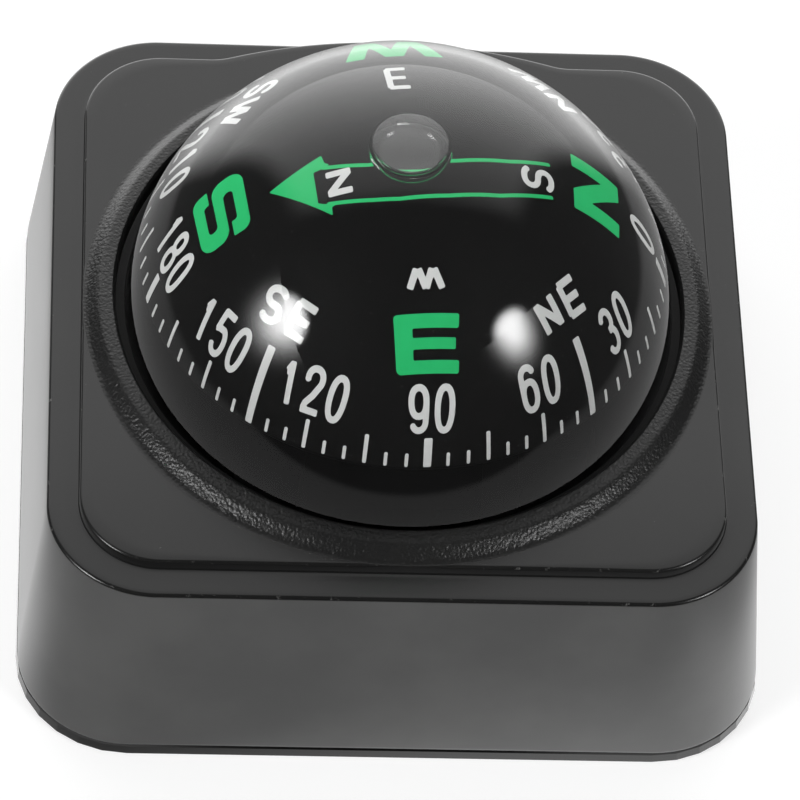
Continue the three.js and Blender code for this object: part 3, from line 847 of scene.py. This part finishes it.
# the big green capitals as polygons with rounded corners: (x, y, radius)
blockLetters = {
    "E": ((-2.93, 2.4, 0.3), (2.9, 2.4, 0.18), (2.86, 1.25, 0.16), (-1.3, 1.25, 0.12), (-1.3, 0.5, 0.12),
          (2.62, 0.5, 0.1), (2.62, -0.42, 0.1), (-1.3, -0.42, 0.12), (-1.3, -1.3, 0.12), (2.98, -1.3, 0.18),
          (3.0, -2.4, 0.22), (-2.93, -2.4, 0.5)),
    "S": ((-3.2, 2.62, 1.4), (3.25, 2.62, 1.2), (3.25, 0.9, 0.1), (1.75, 0.9, 0.1), (1.75, 1.5, 0.35),
          (-1.5, 1.5, 0.45), (-1.5, 0.52, 0.45), (3.25, 0.52, 1.1), (3.25, -2.62, 1.4), (-3.25, -2.62, 1.2),
          (-3.25, -0.9, 0.1), (-1.65, -0.9, 0.1), (-1.65, -1.5, 0.35), (1.6, -1.5, 0.45), (1.6, -0.52, 0.45),
          (-3.2, -0.52, 1.1)),
    "N": ((-2.95, 2.65, 0.15), (-0.95, 2.65, 0.12), (1.5, -0.55, 0.05), (1.5, 2.65, 0.1), (2.95, 2.65, 0.12),
          (2.95, -2.65, 0.15), (1.05, -2.65, 0.12), (-1.5, 0.75, 0.05), (-1.5, -2.65, 0.1), (-2.95, -2.65, 0.12)),
    "W": ((-3.9, 2.5, 0.12), (-2.4, 2.5, 0.12), (-1.65, -0.5, 0.05), (-0.75, 2.5, 0.12), (0.75, 2.5, 0.12),
          (1.65, -0.5, 0.05), (2.4, 2.5, 0.12), (3.9, 2.5, 0.12), (2.5, -2.5, 0.15), (0.95, -2.5, 0.15),
          (0, 0.6, 0.05), (-0.95, -2.5, 0.15), (-2.5, -2.5, 0.15)),
}


class Artwork:
    # collects flat shapes of one ink and lays them on the ball
    def __init__(self):
        self.points = []
        self.faces = []

    def fill(self, fieldOf, lowX, highX, lowY, highY, toFlat):
        cell = card["cell"]
        xs = np.arange(lowX - cell, highX + 2 * cell, cell)
        ys = np.arange(lowY - cell, highY + 2 * cell, cell)
        x, y = np.meshgrid(xs, ys)
        points, faces = filledCells(fieldOf(x, y), xs, ys)
        base = len(self.points)
        self.points += [toFlat(px, py) for px, py in points]
        self.faces += [tuple(base + k for k in face) for face in faces]

    def onBall(self):
        flat = np.array(self.points)
        reach = np.hypot(flat[:, 0], flat[:, 1])
        turn = np.arctan2(flat[:, 1], flat[:, 0]) + radians(card["heading"])
        away = reach / card["mapRadius"]
        radius = card["inkRadius"]
        level = radius * np.sin(away)
        return np.stack([level * np.cos(turn), level * np.sin(turn), radius * np.cos(away)], 1)


def turnedAt(middle, turn):
    # from a glyph's own x, y to the flat artwork: turned by so many degrees and set on its middle
    c, s = cos(radians(turn)), sin(radians(turn))
    return lambda x, y: (middle[0] + x * c - y * s, middle[1] + x * s + y * c)


def atDial(dial, ringRadius):
    # on the ring at a dial angle, its top toward the pole
    a = radians(-dial)
    return turnedAt((ringRadius * cos(a), ringRadius * sin(a)), 90 - dial)


def shifted(strokes, dx):
    return [([(x + dx, y) for x, y in points], closed) for points, closed in strokes]


figures = {
    "ring": 22.5, "tickBottom": 27.72,
    "minor": (26.45, 0.4), "medium": (25.03, 0.46), "quarter": (25.03, 0.92), "diagonal": (20.6, 0.86),
    "pairRing": 17.6, "pairPen": 0.64, "pairHalf": 0.85, "pairTall": 1.32,
}
pairs = {45: "NE", 135: "SE", 225: "SW", 315: "NW"}
pairSpacing = {"E": (0.9, -1.6, 1.55), "W": (1.55, -2.05, 1.25)}  # second letter: half its width, both middles
blocks = {  # dial angle: letter, middle along and across the flat artwork
    90: ("E", 17.17, -0.25), 180: ("S", 16.8, 0.4), 0: ("N", 16.1, -0.35), 270: ("W", 14.9, 0.05),
}
whiteLetters = (  # letter, middle in the flat artwork, half width, half height, degrees turned, pen
    ("W", (-0.2, -12.02), 1.4, 0.8, 180, 0.6),
    ("E", (-0.38, 8.2), 0.72, 1.5, 0, 0.5),
    ("N", (-6.38, -2.9), 0.9, 1.0, 90, 0.56),
    ("S", (9.95, -2.0), 0.82, 1.25, 90, 0.54),
)
arrow = {
    "head": [(-12.17, -1.5), (-7.47, 0.16), (-7.3, -0.7), (-6.9, -0.95), (-7.9, -1.25), (-8.31, -1.3), (-8.3, -4.3),
             (-7.9, -4.5), (-6.9, -4.85), (-7.25, -5.0), (-7.25, -5.75)],
    "lines": ([(-7.6, -1.12), (-3.95, -1.86), (0.5, -2.1), (3.0, -1.87), (7.5, -1.1), (11.2, -0.05)],
              [(-7.6, -4.62), (-3.9, -5.15), (-1.8, -5.33), (2.2, -5.15), (6.43, -4.64), (11.28, -3.37)]),
    "pen": 0.34, "corner": 0.06,
}


def layNumbers(ink):
    f = figures
    for dial in range(0, 360, 30):
        text = str(dial)
        strokes = []
        for k, name in enumerate(text):
            strokes += shifted(digitStrokes(name), spacing[len(text)][k])
        reach = len(text) * 1.32 + 0.7
        ink.fill(strokesField(strokes, digit["pen"]), -reach, reach, -2.4, 2.4, atDial(dial, f["ring"]))


def layTicks(ink):
    f = figures
    for dial in range(0, 360, 5):
        kind = {0: "quarter", 45: "diagonal"}.get(dial % 90, "minor" if dial % 15 else "medium")
        top, width = f[kind]
        middle = (top + f["tickBottom"]) / 2
        half = (f["tickBottom"] - top) / 2
        ink.fill(strokesField([([(0, -half), (0, half)], False)], width, min(0.14, width * 0.4)),
                 -width, width, -half - 0.1, half + 0.1, atDial(dial, middle))


def layLetters(ink):
    f = figures
    for dial, text in pairs.items():
        half, first, second = pairSpacing[text[1]]
        strokes = shifted(letterStrokes(text[0], f["pairHalf"], f["pairTall"]), first)
        strokes += shifted(letterStrokes(text[1], half, f["pairTall"]), second)
        ink.fill(strokesField(strokes, f["pairPen"]), -3.6, 3.6, -2.0, 2.0, atDial(dial, f["pairRing"]))
    for name, middle, half, tall, turn, pen in whiteLetters:
        ink.fill(strokesField(letterStrokes(name, half, tall), pen),
                 -half - 0.5, half + 0.5, -tall - 0.5, tall + 0.5, turnedAt(middle, turn))


def layGreen(ink):
    for dial, (name, ringRadius, across) in blocks.items():
        outline = filletPolygon(blockLetters[name])
        ink.fill(lambda x, y: polygonField(x, y, outline), -4.2, 4.2, -2.9, 2.9,
                 lambda x, y, at=atDial(dial, ringRadius), dx=across: at(x + dx, y))
    head = filletPolygon([(x, y, arrow["corner"]) for x, y in arrow["head"]])
    lines = strokesField(openLines(*arrow["lines"]), arrow["pen"], 0.14)
    ink.fill(lambda x, y: np.minimum(polygonField(x, y, head), lines(x, y)), -12.4, 11.7, -6.0, 0.5,
             lambda x, y: (x, y))


def buildPrint(name, look, layers):
    ink = Artwork()
    for lay in layers:
        lay(ink)
    piece = meshObject(name, ink.onBall(), ink.faces, [look])
    thick = piece.modifiers.new("film", "SOLIDIFY")
    thick.thickness = card["inkThickness"] * mm
    thick.offset = -1
    piece.matrix_world = cardPlace
    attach(piece, "card")
    print(name, "has", len(ink.faces), "faces")


buildPrint("whitePrint", "white", (layNumbers, layTicks, layLetters))
buildPrint("greenPrint", "green", (layGreen,))


# foam pieces
foam = {
    "padHalf": 23.0, "padCorner": 4.0, "padThickness": 1.0, "padRound": 0.22, "padHollow": 0.05, "padLift": 0.02,
    "padRough": 0.012,
    "ringInner": 25.3, "ringOuter": 27.0, "ringBottom": 16.1, "ringTop": 17.3, "ringRound": 0.3,
}


def buildPad():
    f = foam
    r = f["padRound"]

    def edgeRow(t):
        inset = r * (1 - sin(t))
        return roundedSquare(f["padHalf"] - inset, f["padCorner"] - inset), r * (1 - cos(t))

    turns = np.radians((0, 30, 60, 90))
    rows = [(reach, f["padThickness"] - drop) for reach, drop in map(edgeRow, turns)]
    rows.append((roundedSquare(f["padHalf"] - f["padHollow"], f["padCorner"]), f["padThickness"] / 2))
    rows += [edgeRow(turn) for turn in turns[::-1]]
    face = roundedSquare(f["padHalf"] - r, f["padCorner"] - r)
    rows += [(face * share, f["padLift"]) for share in (0.8, 0.5, 0.2)]
    inmost = len(rows) - 1
    rows += [(face * share, f["padThickness"]) for share in (0.2, 0.5, 0.8)]
    n = len(sweep)
    rng = np.random.default_rng(7)
    points = []
    for reach, height in rows:
        wobble = rng.normal(0, f["padRough"], n)
        reach = reach + (np.roll(wobble, 1) + wobble + np.roll(wobble, -1)) / 3
        points.append(np.stack([reach * np.cos(sweep), reach * np.sin(sweep), np.full(n, height)], 1))
    # the two middles are closed by fans
    low, top, last = len(rows) * n, len(rows) * n + 1, (len(rows) - 1) * n
    points.append([[0, 0, f["padLift"]], [0, 0, f["padThickness"]]])
    faces = [face for face in ringFaces(len(rows), n) if not inmost * n <= face[0] < (inmost + 1) * n]
    for j in range(n):
        k = (j + 1) % n
        faces.append((inmost * n + j, low, inmost * n + k))
        faces.append(((inmost + 1) * n + k, top, (inmost + 1) * n + j))
        faces.append((last + j, j, k, last + k))
    piece = meshObject("foamPad", np.concatenate(points), faces, ["foam"])
    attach(piece, "body")
    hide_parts("adhesive_pad")
    return piece


def buildCushion():
    f = foam
    r = f["ringRound"]
    outer, inner, low, high = f["ringOuter"] - r, f["ringInner"] + r, f["ringBottom"] + r, f["ringTop"] - r
    profile = []
    for k, corner in enumerate(((outer, low), (outer, high), (inner, high), (inner, low))):
        profile += arc(corner, r, 90 * k - 90, 90 * k, 4)
    piece = lathe("foamRing", profile[::-1], ["foam"], 180)
    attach(piece, "body")
    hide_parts("capsule_cushion")
    return piece


buildPad().visible_glossy = False
buildCushion().visible_glossy = False
print("foam made")


# CAD nodes that keep their shape
wears = {
    "base_plate": "inside", "capsule_bowl": "bowl", "capsule_gasket": "rubber", "filler_plug": "rubber",
    "pivot_post": "brass", "pivot_pin": "needle", "jewel_cup": "jewel", "jewel_holder": "brass",
    "card_carrier": "bowl", "magnet_front": "magnet", "magnet_back": "magnet", "balance_weight": "brass",
}
for corner in ("front_left", "front_right", "back_left", "back_right"):
    wears["base_screw_" + corner] = "zinc"
for nodeName, look in wears.items():
    nodes[nodeName].visible_glossy = not nodeName.startswith("base_")
    mesh = nodes[nodeName].data
    mesh.materials.clear()
    mesh.materials.append(finishes[look])


# studio
studio = {
    "lens": 225.12,
    "eye": (-31.4517, -266.4357, 372.1607),
    "right": (0.99716206, -0.0248365, 0.07107016),
    "up": (-0.02190774, 0.80743463, 0.58955014),
    "back": (-0.07202687, -0.58943402, 0.80459907),
    "white": 1.0,
    "roomLight": 0.12,
    "panelSides": (0.74, 0.6), "panelStart": (0.12, 0.32),
    "panelLight": 0.5, "panelRise": 0.7, "panelCurve": 1.95,
    "lamps": (
        {"azimuth": -119.1, "elevation": 28.5, "tail": -60.6, "sharp": 0.138, "soft": 0.205, "side": 0.156,
         "sharpPower": 6.2, "softPower": 2.24, "radiance": 26.5},
        {"azimuth": 125.4, "elevation": 32.1, "tail": -87.9, "sharp": 0.105, "soft": 0.191, "side": 0.128,
         "sharpPower": 4.7, "softPower": 2.45, "radiance": 25.2},
    ),
}


def direction(azimuth, elevation):
    a, e = radians(azimuth), radians(elevation)
    return Vector((sin(a) * cos(e), cos(a) * cos(e), sin(e)))


def buildCamera():
    s = studio
    data = bpy.data.cameras.new("camera")
    data.lens = s["lens"]
    data.sensor_width = 36
    data.clip_start = 0.01
    data.clip_end = 20
    camera = bpy.data.objects.new("camera", data)
    columns = [Vector(s[key]) for key in ("right", "up", "back")]
    turn = Matrix(columns).transposed().to_4x4()
    camera.matrix_world = Matrix.Translation(Vector(s["eye"]) * mm) @ turn
    bpy.context.scene.collection.objects.link(camera)
    bpy.context.scene.camera = camera


def lampGlow(board, way, lamp):
    # a soft lamp as light that comes from one direction: sharp on one side, with a tail on the other
    aim = direction(lamp["azimuth"], lamp["elevation"])
    level = Vector((aim.y, -aim.x, 0)).normalized()
    rise = level.cross(aim)
    rise = rise if rise.z > 0 else -rise
    turn = radians(lamp["tail"])
    along = board.dot(way, level * cos(turn) + rise * sin(turn))
    across = board.dot(way, rise * cos(turn) - level * sin(turn))
    tail = board.maths("GREATER_THAN", along, 0.0)
    length = lamp["sharp"] + tail * (lamp["soft"] - lamp["sharp"])
    power = lamp["sharpPower"] + tail * (lamp["softPower"] - lamp["sharpPower"])
    reach = board.maths("SQRT", (along / length) ** 2.0 + (across / lamp["side"]) ** 2.0)
    ahead = board.maths("GREATER_THAN", board.dot(way, aim), 0.0)
    return board.maths("EXPONENT", 0.0 - reach ** power) * ahead * lamp["radiance"]


def buildWorld():
    s = studio
    world = bpy.data.worlds.new("studio")
    bpy.context.scene.world = world
    world.use_nodes = True
    board = Board(world.node_tree)
    way = board.add("ShaderNodeTexCoord", None, None, "Generated")
    x, y = board.split(way)[:2]
    # a bright wall behind, brighter the further back it is
    panel = board.step(board.maths("ABSOLUTE", x), *s["panelSides"]) * board.step(y, *s["panelStart"])
    bright = s["panelLight"] + y * s["panelRise"] + y * y * y * s["panelCurve"]
    light = s["roomLight"] + panel * bright
    for lamp in s["lamps"]:
        light = light + lampGlow(board, way, lamp)
    camera, through = board.rays("Is Camera Ray", "Is Transmission Ray")
    throughLight = board.maths("MAXIMUM", light, s["white"])
    strength = camera * s["white"] + (1 - camera) * (light + through * (throughLight - light))
    background = board.add("ShaderNodeBackground", None, {"Color": grey(1), "Strength": strength})
    board.add("ShaderNodeOutputWorld", None, {"Surface": background})


paper = {
    "reach": 1600, "shade": 0.42, "glow": 0.68,
    "sheetLight": 0.28, "sheetEdge": (0.13, 0.095), "sheetFront": (-0.079, -0.067),
    "behindLight": 2.0, "behindWay": (0.66, 0.84), "behindStart": (0.045, 0.11),
    "closeLight": 1.5, "closeEdge": (0.047, 0.041), "closeFront": (-0.042, -0.03), "closeSlant": 0.25,
    "near": (0.031, 0.025),
}


def buildFloor():
    f = paper
    reach = f["reach"]
    corners = [(-reach, -reach, 0), (reach, -reach, 0), (reach, reach, 0), (-reach, reach, 0)]
    floor = meshObject("floor", corners, [(0, 1, 2, 3)], [])
    board, where = newMaterial("floorPaper")
    x, y = board.split(where)[:2]
    away = board.maths("SQRT", x * x + y * y)
    toBack = y / board.maths("MAXIMUM", away, 0.001)
    # painted reflection: a glowing sheet round the object that only mirrored rays see, brightest behind it and close
    # to its sides
    farther = board.maths("MAXIMUM", board.maths("ABSOLUTE", x), board.maths("ABSOLUTE", y))
    sheet = board.step(away, *f["sheetEdge"]) * board.step(y, *f["sheetFront"]) * f["sheetLight"]
    behind = board.step(toBack, *f["behindWay"]) * board.step(away, *f["behindStart"]) * f["behindLight"]
    camera, through, glossy, length = board.rays(
        "Is Camera Ray", "Is Transmission Ray", "Is Glossy Ray", "Ray Length")
    # painted reflection for the walls alone: only they are near enough to mirror the floor close by
    near = board.step(length, *f["near"])
    close = board.step(farther, *f["closeEdge"]) * board.step(y + x * f["closeSlant"], *f["closeFront"])
    close = close * near * f["closeLight"]
    mirrorLight = studio["roomLight"] + sheet + behind + close
    direct = board.maths("ADD", camera, through, True)
    lit = board.add("ShaderNodeAddShader", None, {
        0: board.add("ShaderNodeBsdfDiffuse", None, {"Color": grey(f["shade"])}),
        1: board.add("ShaderNodeEmission", None, {"Strength": direct * f["glow"]}),
    })
    mirrored = board.add("ShaderNodeEmission", None, {"Strength": mirrorLight})
    both = board.add("ShaderNodeMixShader", None, {0: glossy * (1 - direct), 1: lit, 2: mirrored})
    board.add("ShaderNodeOutputMaterial", None, {"Surface": both})
    floor.data.materials.append(board.material)


buildCamera()
buildWorld()
buildFloor()
bpy.context.scene.view_settings.view_transform = "Standard"
print("studio made")
